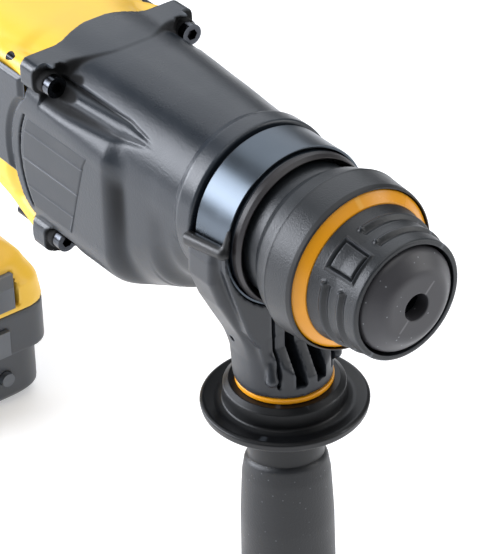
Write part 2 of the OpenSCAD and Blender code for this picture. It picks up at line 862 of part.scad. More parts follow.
module trigger_spring() {
    color(steel) translate([-305.7, 0, -68]) coil_x(3.2, 0.5, 6, 15);
}

module direction_bar() {
    half_len = 25.5;
    color(rubber_black) translate([direction_x - 4, -half_len, direction_z - 3.5])
        cube([8, 2 * half_len, 7]);
}

module switch_module() {
    color(dark_steel) translate([-330.5, -10, -92]) cube([24.5, 20, 40]);
}

module control_module() {
    fins = 6;
    color(plastic_grey) {
        translate([-309, -17, -35]) cube([40, 34, 28]);
        for (i = [0:fins - 1]) translate([-306 + 6.5 * i, -16, -7.1]) cube([2.5, 32, 10]);
    }
}

module terminal_block() {
    blade_y = [-9, -3, 3, 9];
    color(rubber_black) difference() {
        union() {
            translate([-375, -slot_half_w + gap, -161.2])
                cube([80, 2 * (slot_half_w - gap), 161.2 + rail_z + 8]);
            translate([-375, -shoe_half_w, -165]) cube([80, 2 * shoe_half_w, 4]);
        }
        // way of the supply leads
        translate([-331, -13, -159]) cube([27.5, 26, 12]);
    }
    color(copper) for (y = blade_y) translate([-295.1, y - 0.4, -164]) cube([12, 0.8, 2.6]);
}

module motor_leads() {
    color("#7a2f2a") {
        for (y = [-9, 0, 9]) translate([0, y, motor_z + 14]) rod_x(1.2, -269, -236.2);
        for (y = [-11.7, 11.7]) translate([-306, y, -158.9]) cylinder(r = 1.2, h = 123.9);
    }
}

module foot_bezel() {
    color(rubber_black) difference() {
        hull() {
            translate([-280.9, -19.9, -154.9]) cube([4, 39.8, 13.8]);
            translate([-275, -17.5, -154.9]) cube([2.2, 35, 10.5]);
        }
        translate([-277.5, 0, -149]) along_x() cylinder(r = 4.5, h = 6);
    }
}

module led_lens() {
    color("#e9edf0") translate([-277.5, 0, -149]) along_x() {
        cylinder(r = 4.45, h = 3.6);
    }
}

// ---- battery ----

module battery_top_case() {
    wall = 1.5;
    top = rail_z - gap;
    color(plastic_grey) difference() {
        translate([0, 0, battery_seam]) linear_extrude(top - battery_seam)
            polygon(rounded([battery_rear, -foot_half_w], [battery_front, foot_half_w], 12));
        // room for the cells, under the deck that holds the rail
        translate([0, 0, battery_seam - cut]) linear_extrude(9 + cut)
            polygon(rounded([battery_rear + wall, -foot_half_w + wall],
                [battery_front - 8, foot_half_w - wall], 10));
        // T slot that the rail slides out of
        translate([battery_rear - cut, -slot_half_w, -161.3])
            cube([92, 2 * slot_half_w, 161.3 + top + cut]);
        translate([battery_rear - cut, -shoe_half_w - gap, -165.3])
            cube([92, 2 * (shoe_half_w + gap), 4.6]);
        translate([-295, -11, -165.3]) cube([14, 22, 4.6]);
        // mouth of the latch button
        translate([-279.5, -13.3, -176.3]) cube([8, 26.6, 12.6]);
    }
}

module battery_bottom_case() {
    wall = 1.4;
    half_w = 34.5;
    chamfer = 4;
    rear = battery_rear + 1;
    front = battery_front - 1.5;
    color(rubber_black) difference() {
        hull() {
            slice_z(battery_seam - 0.1, rear, front, half_w, 13);
            slice_z(battery_bottom + chamfer, rear, front, half_w, 13);
            slice_z(battery_bottom, rear + chamfer, front - chamfer, half_w - chamfer, 10);
        }
        translate([0, 0, battery_bottom + chamfer]) linear_extrude(40)
            polygon(rounded([rear + wall, -half_w + wall], [front - wall, half_w - wall], 11.6));
        translate([front - 2.5, 12, -190]) along_x() cylinder(r = 3.3, h = 6);
    }
}

module battery_cells() {
    cell_r = 9;
    cell_len = 62;
    color(cell_green) for (i = [-2:2])
        translate([-330 + 18.4 * i, cell_len / 2, -190.7]) rotate([90, 0, 0])
            cylinder(r = cell_r, h = cell_len);
}

module battery_board() {
    color("#2f6b46") translate([-372, -26, -174.5]) cube([84, 52, 1.6]);
    color(plastic_grey) for (x = [-360, -345]) translate([x, -8, -173]) cube([9, 16, 3]);
}

module battery_latch() {
    color(rubber_black) translate([-275.5, -13, -176]) cube([4, 26, 12]);
}

module gauge_button() {
    color(steel) translate([battery_front - 3.4, 12, -190]) along_x() cylinder(r = 3, h = 2.6);
}

spindle();
dust_cap();
locking_balls();
spindle_gear();
clutch_ring();
clutch_spring();
gear_circlip();
front_sleeve();
sleeve_ring();
rear_sleeve();
lock_ring();
sleeve_spring();
impact_bolt();
striker();
piston();
wobble_ring();
wobble_balls();
intermediate_shaft();
intermediate_gear();
rotor_shaft();
rotor_core();
motor_fan();
gearcase();
gearcase_screws();
side_pad();
front_bearing();
spindle_seal();
rear_bush();
inner_frame();
intermediate_bearings();
motor_bearings();
stator_core();
stator_coils();
motor_housing();
handle_left();
handle_right();
handle_screws();
grip_rubber();
switch_module();
control_module();
terminal_block();
motor_leads();
foot_bezel();
led_lens();
handle_band();
handle_yoke();
handle_bolt();
handle_nut();
side_grip();
handle_ring();
mode_selector();
trigger();
trigger_spring();
direction_bar();
battery_top_case();
battery_bottom_case();
battery_cells();
battery_board();
battery_latch();
gauge_button();
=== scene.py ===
import json
import bpy
import bmesh
import numpy as np
from mathutils import Matrix, Vector


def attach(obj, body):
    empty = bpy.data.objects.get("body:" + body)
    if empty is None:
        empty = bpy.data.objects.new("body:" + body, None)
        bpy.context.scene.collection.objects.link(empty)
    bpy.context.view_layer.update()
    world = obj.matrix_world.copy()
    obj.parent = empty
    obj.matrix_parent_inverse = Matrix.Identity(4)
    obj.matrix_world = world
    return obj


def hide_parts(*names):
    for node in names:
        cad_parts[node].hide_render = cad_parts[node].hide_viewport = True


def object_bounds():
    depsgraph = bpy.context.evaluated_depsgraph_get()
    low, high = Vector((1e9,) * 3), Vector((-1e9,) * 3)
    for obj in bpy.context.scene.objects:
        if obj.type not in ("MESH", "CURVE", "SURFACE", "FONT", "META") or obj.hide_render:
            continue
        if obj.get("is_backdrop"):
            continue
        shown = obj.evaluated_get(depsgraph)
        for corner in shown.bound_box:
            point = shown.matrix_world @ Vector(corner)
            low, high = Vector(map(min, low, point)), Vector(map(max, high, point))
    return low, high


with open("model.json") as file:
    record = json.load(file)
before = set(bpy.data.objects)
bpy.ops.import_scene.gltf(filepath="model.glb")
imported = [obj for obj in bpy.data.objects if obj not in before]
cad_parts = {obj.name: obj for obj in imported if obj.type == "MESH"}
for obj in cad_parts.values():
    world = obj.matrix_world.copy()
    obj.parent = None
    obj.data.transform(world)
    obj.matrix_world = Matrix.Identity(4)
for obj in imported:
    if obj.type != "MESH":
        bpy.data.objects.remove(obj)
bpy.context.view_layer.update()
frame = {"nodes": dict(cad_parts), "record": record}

# ---- dust cap ----
# A soft nitrile rubber cap that closes the nose round the bit and keeps drilling dust out of the
# chuck. It is moulded in one piece and clips over the end of the spindle.


def linear(code):
    """Linear RGBA of an sRGB hex colour: each channel through the sRGB curve."""
    v = np.array([int(code[i:i + 2], 16) for i in (1, 3, 5)]) / 255
    return (*np.where(v <= 0.04045, v / 12.92, ((v + 0.055) / 1.055) ** 2.4), 1.0)


def add(tree, kind, inputs=(), **settings):
    """Adds a shader node with its settings; an input given as an output is linked to it."""
    node = tree.nodes.new("ShaderNode" + kind)
    for key, value in settings.items():
        setattr(node, key, value)
    for key, value in dict(inputs).items():
        if isinstance(value, bpy.types.NodeSocket):
            tree.links.new(value, node.inputs[key])
        else:
            node.inputs[key].default_value = value
    return node


def spread(tree, value, low, high, to_low, to_high):
    """value between low and high, drawn out to run between to_low and to_high."""
    return add(tree, "MapRange", {"Value": value, "From Min": low, "From Max": high,
                                  "To Min": to_low, "To Max": to_high}).outputs["Result"]


def finish(name, colour, rough, grain_mm=0.6, depth_mm=0.02, mottle=0.08, metal=0.0, ior=1.5,
           coat=0.0, wear="#8a8f96", worn=0.25, dust=0.0, squeeze=(1, 1, 1), paints_recess_shade=False):
    """A moulded, painted or machined finish. Grain of grain_mm stands depth_mm high, a cloud 28 mm
    across varies tone and roughness, edges go towards the wear colour, and dust adds pale specks.
    squeeze stretches the grain along an axis, as brushing and turning do. A finish with the recess
    flag set has painted shade: it goes black where the piece's own painted shade value is high, in
    recesses where shade falls. A pattern's scale is 1000 over its size in mm, because objects are in
    metres."""
    made = bpy.data.materials.new(name)
    made.use_nodes = True
    tree = made.node_tree
    tree.nodes.clear()
    place = add(tree, "TexCoord").outputs["Object"]
    drawn = add(tree, "Mapping", {"Vector": place, "Scale": squeeze}).outputs["Vector"]
    grain = add(tree, "TexNoise", {"Vector": drawn, "Scale": 1000 / grain_mm, "Detail": 2.0,
                                   "Roughness": 0.6}).outputs["Fac"]
    cloud = add(tree, "TexNoise", {"Vector": place, "Scale": 1000 / 28, "Detail": 5.0,
                                   "Roughness": 0.55}).outputs["Fac"]
    tone = spread(tree, cloud, 0.3, 0.7, 1 - mottle, 1 + mottle)
    toned = add(tree, "HueSaturation", {"Color": linear(colour), "Value": tone}).outputs["Color"]
    ridge = add(tree, "NewGeometry").outputs["Pointiness"]
    edge = spread(tree, ridge, 0.52, 0.62, 0.0, worn)
    worn_tone = add(tree, "Mix", {"Factor": edge, 6: toned, 7: linear(wear)}, data_type="RGBA")
    shown = worn_tone.outputs[2]
    if dust:
        # specks 0.3 mm across about every 3 mm, a little coarser than real dust
        speck = add(tree, "TexVoronoi", {"Vector": place, "Scale": 1000 / 3.0}).outputs["Distance"]
        lit = spread(tree, speck, 0.05, 0.12, dust, 0.0)
        shown = add(tree, "Mix", {"Factor": lit, 6: shown, 7: linear("#c9cdd2")},
                    data_type="RGBA").outputs[2]
    # painted shade: where the piece's painted shade value is high the colour goes near black, standing
    # in for the shade in its recesses
    if paints_recess_shade:
        painted_shade = add(tree, "Attribute", attribute_name="painted_shade").outputs["Fac"]
        shown = add(tree, "Mix", {"Factor": painted_shade, 6: shown, 7: linear("#040405")},
                    data_type="RGBA").outputs[2]
    roughness = spread(tree, cloud, 0.3, 0.7, rough - 0.05, rough + 0.06)
    if paints_recess_shade:
        roughness = spread(tree, painted_shade, 0.0, 1.0, roughness, 0.9)
    bump = add(tree, "Bump", {"Height": grain, "Distance": depth_mm / 1000, "Strength": 1.0})
    shader = add(tree, "BsdfPrincipled", {
        "Base Color": shown, "Roughness": roughness, "Metallic": metal, "IOR": ior,
        "Coat Weight": coat, "Coat Roughness": 0.12, "Normal": bump.outputs["Normal"]})
    add(tree, "OutputMaterial", {"Surface": shader.outputs["BSDF"]})
    return made


def eased(corners, closed=True, steps=7):
    """A line through corners (u, v, radius): near each corner it follows the parabola that touches
    both sides at the distance where an arc of that radius would, with a point just outside it on
    each side, so that the flats between stay flat."""
    given = np.array(corners, float)
    at, radius = given[:, :2], given[:, 2]
    back, ahead = np.roll(at, 1, 0) - at, np.roll(at, -1, 0) - at
    back_len, ahead_len = np.linalg.norm(back, axis=1), np.linalg.norm(ahead, axis=1)
    back, ahead = back / back_len[:, None], ahead / ahead_len[:, None]
    turn = np.arccos(np.clip(-(back * ahead).sum(1), -1, 1))
    reach = np.minimum(radius * np.tan(turn / 2), 0.42 * np.minimum(back_len, ahead_len))
    if not closed:
        reach[[0, -1]] = 0
    reach = reach[:, None]
    s = np.linspace(0, 1, steps)[None, :, None]
    first, last, mid = (at + back * reach)[:, None], (at + ahead * reach)[:, None], at[:, None]
    curve = (1 - s) ** 2 * first + 2 * s * (1 - s) * mid + s ** 2 * last
    line = np.concatenate([(at + back * reach * 1.15)[:, None], curve,
                           (at + ahead * reach * 1.15)[:, None]], 1).reshape(-1, 2)
    return line if closed else line[1:-1]


def evened(line, pitch, closed=True):
    """The same line with points a pitch apart along it."""
    path = np.vstack([line, line[:1]]) if closed else line
    run = np.r_[0, np.cumsum(np.linalg.norm(np.diff(path, axis=0), axis=1))]
    count = int(run[-1] / pitch)
    at = np.linspace(0, run[-1], count, endpoint=not closed)
    return np.stack([np.interp(at, run, path[:, k]) for k in (0, 1)], 1)


def turned(line, count=180, axis="x", centre=0.0):
    """A line of (place along the axis, radius) turned once round the axis: row i is the line at
    angle i. Round x the angle starts at +y; round z it starts at +x, about x = centre."""
    a = np.linspace(0, 2 * np.pi, count, endpoint=False)[:, None]
    along, r = np.broadcast_to(line[:, 0], (count, len(line))), line[:, 1][None]
    if axis == "x":
        return np.stack([along, r * np.cos(a), r * np.sin(a)], -1)
    return np.stack([centre + r * np.cos(a), r * np.sin(a), along], -1)


def quads(rows, columns, wrap_rows, wrap_columns):
    """Four point numbers for each face of a grid; a wrapped direction closes on itself."""
    i, j = np.meshgrid(np.arange(rows - (not wrap_rows)),
                       np.arange(columns - (not wrap_columns)), indexing="ij")
    i2, j2 = (i + 1) % rows, (j + 1) % columns
    return np.stack([i * columns + j, i2 * columns + j, i2 * columns + j2, i * columns + j2],
                    -1).reshape(-1, 4)


def piece(name, parts, materials, body, nodes=(), pick=None, sharp=40):
    """One object from parts of (points in mm, faces). Points that coincide are merged, faces are
    turned outwards, edges sharper than the given angle stay sharp, and pick gives each face's
    material number from its middle."""
    points = np.concatenate([np.asarray(p, float).reshape(-1, 3) for p, f in parts])
    starts = np.cumsum([0] + [np.asarray(p).reshape(-1, 3).shape[0] for p, f in parts][:-1])
    faces = np.concatenate([f + s for (p, f), s in zip(parts, starts)])
    mesh = bpy.data.meshes.new(name)
    mesh.vertices.add(len(points))
    mesh.vertices.foreach_set("co", (points / 1000).astype(np.float32).ravel())
    mesh.loops.add(4 * len(faces))
    mesh.loops.foreach_set("vertex_index", faces.astype(np.int32).ravel())
    mesh.polygons.add(len(faces))
    mesh.polygons.foreach_set("loop_start", np.arange(0, 4 * len(faces), 4, dtype=np.int32))
    mesh.update(calc_edges=True)
    work = bmesh.new()
    work.from_mesh(mesh)
    bmesh.ops.remove_doubles(work, verts=work.verts, dist=2e-6)
    bmesh.ops.dissolve_degenerate(work, dist=1e-7, edges=work.edges)
    bmesh.ops.recalc_face_normals(work, faces=work.faces)
    work.to_mesh(mesh)
    work.free()
    for m in materials if isinstance(materials, list) else [materials]:
        mesh.materials.append(m)
    if pick is not None:
        middle = np.zeros(3 * len(mesh.polygons))
        mesh.polygons.foreach_get("center", middle)
        chosen = pick(*(middle.reshape(-1, 3).T * 1000)).astype(np.int32)
        mesh.polygons.foreach_set("material_index", chosen)
    mesh.shade_smooth()
    mesh.set_sharp_from_angle(angle=np.radians(sharp))
    made = bpy.data.objects.new(name, mesh)
    bpy.context.scene.collection.objects.link(made)
    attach(made, body)
    if nodes:
        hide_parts(*nodes)
    return made


def ring(line, count=180, axis="x", centre=0.0):
    """The points and faces of a closed line turned once round an axis."""
    grid = turned(line, count, axis, centre)
    return grid, quads(grid.shape[0], grid.shape[1], True, True)


# nitrile rubber, as moulded: dull, with rubbed grey edges and drilling dust
rubber = finish("nitrile rubber, moulded dull", "#3b3a3d", 0.4, grain_mm=0.5, depth_mm=0.015,
                mottle=0.14, wear="#8e8d90", worn=0.35, dust=0.35)
cap_line = eased([(5.1, 4.9, 0.5), (5.1, 12.6, 6), (-0.2, 19.2, 4.2), (-9, 19.2, 0.3),
                  (-9, 17.2, 0.2), (-3, 17.2, 0.2), (-3, 13, 0.2), (-8, 13, 0.2),
                  (-8, 10.3, 0.2), (-0.6, 10.3, 0.2), (-0.6, 4.9, 0.2)])
piece("nose_dust_cap", [ring(cap_line)], rubber, "spindle", ["dust_cap"])

# ---- front sleeve ----
# The front half of the locking sleeve, moulded in glass-filled nylon with a fine spark texture.
# Two raised grip rings run round it and stop at a square pad. It is pulled back to free the bit.


def rise(t):
    """0 below 0 and 1 above 1, with a smooth S between."""
    t = np.clip(t, 0, 1)
    return t * t * (3 - 2 * t)


sleeve_nylon = finish("glass-filled nylon, spark textured", "#1a1d20", 0.38, grain_mm=0.6,
                      depth_mm=0.1, mottle=0.1, wear="#6a6f76", worn=0.5)
sleeve_line = evened(eased([(0, 20.1, 0.4), (0, 22.0, 1.1), (-11, 22.8, 9), (-21, 25.3, 0.5),
                            (-21, 22.4, 0.2), (-31, 22.4, 0.2), (-31, 17.6, 0.2),
                            (-20, 17.6, 0.2), (-20, 20.1, 0.2)]), 0.33)
grid = turned(sleeve_line, 420)
x, y, z = np.moveaxis(grid, -1, 0)
r = np.hypot(y, z)
pad_turn, pad_middle = 133, -10.5      # degrees round the nose from the left, mm along it
off_pad = (np.degrees(np.arctan2(z, y)) - pad_turn + 180) % 360 - 180
outer = (r > 21.6) & (x > -20.7) & (x < -1.0)
lift = 0 * x
for rib in (-7.3, -14.5):
    end = np.abs(off_pad) - 25.0       # degrees past the place where the rib stops
    lift += rise(end / 1.2) * (0.75 * np.exp(-((x - rib + 0.45) / 0.62) ** 2)
                               - 0.85 * np.exp(-((x - rib - 1.05) / 0.75) ** 2))
    lift += 0.8 * np.exp(-((x - rib + 0.45) / 0.75) ** 2 - ((end - 1.0) * 0.4 / 0.75) ** 2)
across = np.abs(off_pad) * 0.4         # mm round the sleeve
side = np.maximum(np.abs(x - pad_middle) - 0.5, across - 0.3)
# the pad stands 0.55 mm up to 5.6 mm from its middle, with a groove and a rim along its border
lift += 0.55 * rise((5.6 - side) / 0.35)
lift -= 1.0 * np.exp(-((side - 4.5) / 0.36) ** 2)
lift += 0.35 * np.exp(-((side - 5.5) / 0.3) ** 2)
scale = np.where(outer, (r + lift) / r, 1.0)
grid[..., 1] *= scale
grid[..., 2] *= scale
piece("sleeve_front", [(grid, quads(*grid.shape[:2], True, True))], sleeve_nylon,
      "locking_sleeve", ["front_sleeve"], sharp=50)

# ---- colour ring of the sleeve ----
# A separate ring of yellow acetal, turned smooth. It is trapped between the two halves of the
# sleeve when they are pressed together.
yellow = finish("acetal, yellow, satin", "#ee9f0b", 0.3, grain_mm=1.2, depth_mm=0.006,
                mottle=0.05, wear="#ffe08a", worn=0.2)
ring_line = eased([(-21.05, 22.6, 0.2), (-21.05, 25.5, 0.6), (-24.2, 28.8, 0.8),
                   (-27, 28.8, 0.2), (-27, 22.6, 0.2)])
piece("sleeve_colour_ring", [ring(ring_line, 240)], yellow, "locking_sleeve",
      ["sleeve_ring"])

# ---- rear sleeve ----
# The bell-shaped rear half of the sleeve, with a dull black front lip, a fine mould line round its
# widest place and a skirt that runs back into the collar of the gear case.
lip_rubber = finish("thermoplastic rubber, black", "#0d0e10", 0.5, grain_mm=0.6, depth_mm=0.02,
                    wear="#4a4c50", worn=0.3)
bell_line = evened(eased([(-23.4, 29.2, 0.2), (-23.6, 29.8, 0.5), (-25.4, 30.25, 2.0),
                          (-35.6, 30.9, 0.8), (-37.2, 30.5, 3.0), (-43.0, 28.6, 5),
                          (-47.4, 25.2, 2), (-57, 24.9, 0.5), (-57, 24.0, 0.4), (-46, 24.2, 6),
                          (-34, 28.2, 4), (-27.4, 29.2, 0.2)]), 0.3)
bell = turned(bell_line, 300)
x = bell[..., 0]
r = np.hypot(bell[..., 1], bell[..., 2])
mould_line = 0.24 * np.exp(-((x + 35.9) / 0.25) ** 2) * (r > 29.5)
bell[..., 1:] *= ((r + mould_line) / r)[..., None]
piece("sleeve_rear", [(bell, quads(*bell.shape[:2], True, True))], [sleeve_nylon, lip_rubber],
      "locking_sleeve", ["rear_sleeve"],
      pick=lambda x, y, z: (x > -25.5) & (np.hypot(y, z) > 28.9))

# ---- clamp band of the side handle ----
# A strap of spring steel, blued and oiled, rolled to fit the collar of the gear case. Its ends
# sit in the yoke, and the clamp bolt draws it tight.
band_steel = finish("spring steel, blued and oiled", "#545b62", 0.3, grain_mm=0.35,
                    depth_mm=0.004, mottle=0.1, metal=1.0, wear="#c4ccd2", worn=0.25,
                    squeeze=(1, 0.12, 0.12))
band_line = eased([(-57.95, 28.75, 0.15), (-57.95, 29.7, 0.35), (-75.25, 29.7, 0.35),
                   (-75.25, 28.75, 0.15)])
piece("clamp_band", [ring(band_line, 300)], band_steel, "side_handle",
      ["handle_band"])

# ---- side handle yoke ----
# A moulding in glass-filled nylon whose two cheeks take the band's pull. Its front is cored out
# into ribs to keep the walls even, and black rubber lips cover the ends of the band.


def rounded_box(p, low, high, radius):
    """Distance to a box with rounded edges: the distance to a smaller box, less the radius."""
    low, high = np.array(low, float), np.array(high, float)
    q = np.abs(p - (low + high) / 2) - (high - low) / 2 + radius
    return np.linalg.norm(np.maximum(q, 0), axis=-1) + np.minimum(q.max(-1), 0) - radius


def rounded_slab(u, v, u_low, u_high, v_low, v_high, radius):
    """Distance in the plane (u, v) to a rectangle with rounded corners; its sides may vary."""
    qu = np.abs(u - (u_low + u_high) / 2) - (u_high - u_low) / 2 + radius
    qv = np.abs(v - (v_low + v_high) / 2) - (v_high - v_low) / 2 + radius
    return np.hypot(np.maximum(qu, 0), np.maximum(qv, 0)) + np.minimum(
        np.maximum(qu, qv), 0) - radius


def rod(p, start, end, r_start, r_end):
    """Distance to a tapered rod with round ends: the distance to the nearest point of its middle
    line, less the radius there."""
    a, d = np.array(start, float), np.array(end, float) - np.array(start, float)
    t = np.clip(((p - a) @ d) / (d @ d), 0, 1)
    return np.linalg.norm(p - a - t[..., None] * d, axis=-1) - (r_start + (r_end - r_start) * t)


def join(a, b, soft):
    """The union of two distances, with a fillet about as wide as soft where they meet."""
    h = np.clip(0.5 + 0.5 * (b - a) / soft, 0, 1)
    return b * (1 - h) + a * h - soft * h * (1 - h)


def cut(a, b, soft):
    """a with b taken away, and the edge rounded over about soft."""
    return -join(-a, b, soft)


def outline(u, v, corners):
    """Signed distance to a closed outline in the plane: the least distance to its sides, negative
    where an odd number of sides lies to one side of the point."""
    least, inside = np.full(np.shape(u), 1e9), np.zeros(np.shape(u), bool)
    for (u0, v0), (u1, v1) in zip(corners, corners[1:] + corners[:1]):
        du, dv = u1 - u0, v1 - v0
        t = np.clip(((u - u0) * du + (v - v0) * dv) / (du * du + dv * dv), 0, 1)
        least = np.minimum(least, np.hypot(u - u0 - t * du, v - v0 - t * dv))
        crosses = (v0 > v) != (v1 > v)
        inside ^= crosses & (u < u0 + (v - v0) * du / (dv if dv else 1e-9))
    return np.where(inside, -least, least)


def slopes(field, p, step=0.05):
    """The field's slope at each point, by central differences."""
    moves = np.eye(3) * step
    return np.stack([field(p + m) - field(p - m) for m in moves], -1) / (2 * step)


def skin_of(field, low, high, pitch):
    """The closed skin where a field of distances is zero. The field is taken on a lattice; each
    cell that the skin crosses gets one point, the mean of its edge crossings, which three steps
    down the field's slope bring onto the skin; each crossed edge joins its four cells in a face."""
    axes = [np.arange(a - pitch, b + 2 * pitch, pitch) for a, b in zip(low, high)]
    lattice = np.stack(np.meshgrid(*axes, indexing="ij"), -1)
    value = field(lattice)
    cells = tuple(n - 1 for n in value.shape)
    total, count, found = np.zeros(cells + (3,)), np.zeros(cells), []
    for axis in range(3):
        near = [slice(None)] * 3
        far = [slice(None)] * 3
        near[axis], far[axis] = slice(0, -1), slice(1, None)
        a, b = value[tuple(near)], value[tuple(far)]
        crossed = (a < 0) != (b < 0)
        t = np.where(crossed, a / np.where(a == b, 1, a - b), 0)
        where = lattice[tuple(near)] + t[..., None] * (np.arange(3) == axis) * pitch
        others = [k for k in range(3) if k != axis]
        for shift in np.ndindex(2, 2):
            take = [slice(None)] * 3
            for k, s in zip(others, shift):
                take[k] = slice(s, s + cells[k])
            total += where[tuple(take)] * crossed[tuple(take)][..., None]
            count += crossed[tuple(take)]
        at = np.argwhere(crossed)
        at = at[(at[:, others] > 0).all(1) & (at[:, others] < np.array(cells)[others]).all(1)]
        found.append((others, at))
    number = np.full(cells, -1)
    used = count > 0
    number[used] = np.arange(used.sum())
    points = total[used] / count[used][:, None]
    for _ in range(3):
        slope = slopes(field, points)
        step = field(points)[:, None] * slope / np.maximum((slope ** 2).sum(-1), 0.2)[:, None]
        length = np.linalg.norm(step, axis=1)[:, None]
        points -= step * np.minimum(1, 0.5 * pitch / np.maximum(length, 1e-9))
    faces = []
    for others, at in found:
        ring_of = []
        for s in ((0, 0), (1, 0), (1, 1), (0, 1)):
            cell = at.copy()
            cell[:, others] -= np.array(s)
            ring_of.append(number[tuple(cell.T)])
        faces.append(np.stack(ring_of, 1))
    return points, np.concatenate(faces)


HANDLE_X = -66.6                       # place of the side handle's middle along the tool
# half outlines (across, up) of the cheeks and of the raised panel on their front
cheek_half = [(0, -62), (14.6, -62), (16.4, -50), (20, -42), (24.5, -33.5), (30.2, -22.5),
              (34, -12), (33.8, -4), (32.2, 2.0), (0, 2.0)]
panel_half = [(0, -57), (13.4, -57), (15.4, -51.8), (17.6, -42.6), (22.2, -34.7), (28.0, -17),
              (31.2, -6), (31.4, 1.0), (0, 1.0)]


def plate(p, corners, rear, front, radius):
    """A slab between two places along the tool with the outline given for its half width."""
    flat = outline(np.abs(p[..., 1]), p[..., 2], corners) + radius
    deep = np.abs(p[..., 0] - (rear + front) / 2) - (front - rear) / 2 + radius
    return np.hypot(np.maximum(flat, 0), np.maximum(deep, 0)) + np.minimum(
        np.maximum(flat, deep), 0) - radius


def yoke(p):
    """The cheeks' outline, thick behind and set in at the front, joined to a round neck, with a
    raised panel that fins carry down to the neck, less the band's seat and the cores."""
    x, y, z = p[..., 0], p[..., 1], p[..., 2]
    neck = np.maximum(np.hypot(x - HANDLE_X, y) - 17.2, np.abs(z + 52.4) - 12.0)
    body = join(plate(p, cheek_half, -76.2, -60.6, 3.0), neck, 6)
    body = join(body, plate(p, panel_half, -72, -56.8, 0.9), 0.8)
    front = -56.7 + 7.3 * np.clip((-45.5 - z) / 12.5, 0, 1)
    body = cut(body, front - x, 0.4)
    for s in (-1, 1):
        body = join(body, rod(p, (-56.6, 13.6 * s, -51), (-55.2, 14.0 * s, -56.6), 1.2, 2.3), 1.0)
    body = np.maximum(body, 29.95 - np.hypot(y, z))
    for low, high, top in ((-12.2, -11.0, -31), (-6.8, -2.7, -33), (1.5, 5.9, -33),
                           (10.0, 12.4, -31)):
        core = rounded_box(p, (-66.0, low, -60.6), (-40, high, top), 0.45)
        body = cut(body, core, 0.4)
    body = cut(body, rod(p, (-70, -15, -44), (-70, -30, -44), 1.1, 1.1), 0.4)
    return body


nylon_dark = finish("glass-filled nylon, fine texture", "#24272c", 0.34, grain_mm=0.7,
                    depth_mm=0.03, mottle=0.08, wear="#70757c", worn=0.3)
piece("side_handle_yoke", [skin_of(yoke, (-77, -35, -65), (-48, 35, 3), 0.75)], nylon_dark,
      "side_handle", ["handle_yoke"], sharp=48)


def lips(p):
    """Two round-ended bars, one over each end of the band."""
    q = np.stack([p[..., 0], -np.abs(p[..., 1]), p[..., 2]], -1)
    bar = rod(q, (-76.0, -31.4, -1.0), (-58.5, -31.0, 1.6), 2.7, 2.3)
    up = rod(q, (-57.8, -30.4, 1.6), (-57.2, -28.9, 9.4), 1.8, 0.8)
    return np.maximum(join(bar, up, 1.2), 29.75 - np.hypot(p[..., 1], p[..., 2]))


gloss_black = finish("thermoplastic rubber, polished", "#040405", 0.42, grain_mm=2.0,
                     depth_mm=0.01, wear="#3a3d42", worn=0.2)
piece("band_end_lips", [skin_of(lips, (-79, -35, -5), (-55, 35, 11), 0.6)], gloss_black,
      "side_handle")

# ---- side handle grip ----
# A hollow grip moulded in dark nylon with a wide hand guard; the yellow ring above its hub shows
# where it screws up to the yoke, and a rubber sleeve covers it from the shoulder down.
hub_line = eased([(-66.9, 5.2, 0.2), (-66.9, 19.8, 0.8), (-68.6, 21.9, 0.9), (-74.6, 22.1, 1.2),
                  (-75.6, 24.5, 3.0), (-74.6, 29.0, 1.2), (-75.4, 30.3, 1.0),
                  (-78.6, 29.6, 1.6), (-80.2, 17.5, 4), (-88, 14.3, 9), (-98, 13.7, 6),
                  (-101.5, 14.0, 1.0), (-101.5, 5.2, 0.2)])
hub_nylon = finish("nylon, smooth moulded", "#08090b", 0.4, grain_mm=0.7, depth_mm=0.012,
                   mottle=0.1, ior=1.42, wear="#5c6168", worn=0.3)
piece("hand_guard", [ring(hub_line, 200, "z", HANDLE_X)], hub_nylon, "side_grip")
grip_line = evened(eased([(-98.4, 0, 0), (-98.0, 13.0, 0.4), (-99.6, 15.0, 1.6), (-106, 16.0, 6),
                          (-126, 17.0, 20), (-160, 17.4, 20), (-192, 17.3, 20),
                          (-203.5, 15.8, 3), (-205, 13, 1.2), (-205, 0, 0)], closed=False),
                   0.9, closed=False)
grip = turned(grip_line, 160, "z", HANDLE_X)
angle = np.arctan2(grip[..., 1], grip[..., 0] - HANDLE_X)
near_shoulder = rise((grip[..., 2] + 118) / 16)
grip[..., 2] += near_shoulder * (2.4 * np.cos(angle + 0.5) - 1.2)
grip_rubber = finish("thermoplastic rubber, matt", "#131518", 0.44, grain_mm=0.8, depth_mm=0.08,
                     mottle=0.14, wear="#5f646b", worn=0.3, dust=0.12)
piece("grip_sleeve", [(grip, quads(*grip.shape[:2], True, False))], grip_rubber, "side_grip",
      ["side_grip"])
thin_ring = eased([(-64.75, 5.2, 0.2), (-64.75, 17.6, 0.5), (-66.8, 17.6, 0.5),
                   (-66.8, 5.2, 0.2)])
piece("grip_colour_ring", [ring(thin_ring, 160, "z", HANDLE_X)], yellow, "side_grip",
      ["handle_ring"])

# ---- gear case ----
# The gear case is one moulding in blue-grey glass-filled nylon over the hammer drive: a domed top,
# flat flanks, a bulged collar for the side handle, and four screw bosses at its rear rim.


def station(x, places, values):
    """A size that varies along the tool, joined smoothly between the places it is given at."""
    order = np.argsort(places)
    places, values = np.array(places, float)[order], np.array(values, float)[order]
    k = np.clip(np.searchsorted(places, x) - 1, 0, len(places) - 2)
    t = np.clip((x - places[k]) / (places[k + 1] - places[k]), 0, 1)
    return values[k] + (values[k + 1] - values[k]) * (0.5 * t + 0.5 * t * t * (3 - 2 * t))


FLANK = 34.0                           # mm from the middle plane to the flat of a flank


def rear_edge(z):
    """Place of the gear case's rear edge on the flanks: it bows to the rear at mid height."""
    return -170.6 - 10.5 * np.clip(1 - ((z + 12.5) / 24) ** 2, 0, 1) ** 0.8


def rim_front(ay):
    """Place of the rear rim's front edge: it comes forward as it nears the middle plane."""
    return -157.6 + 8.0 * rise((22 - ay) / 17)


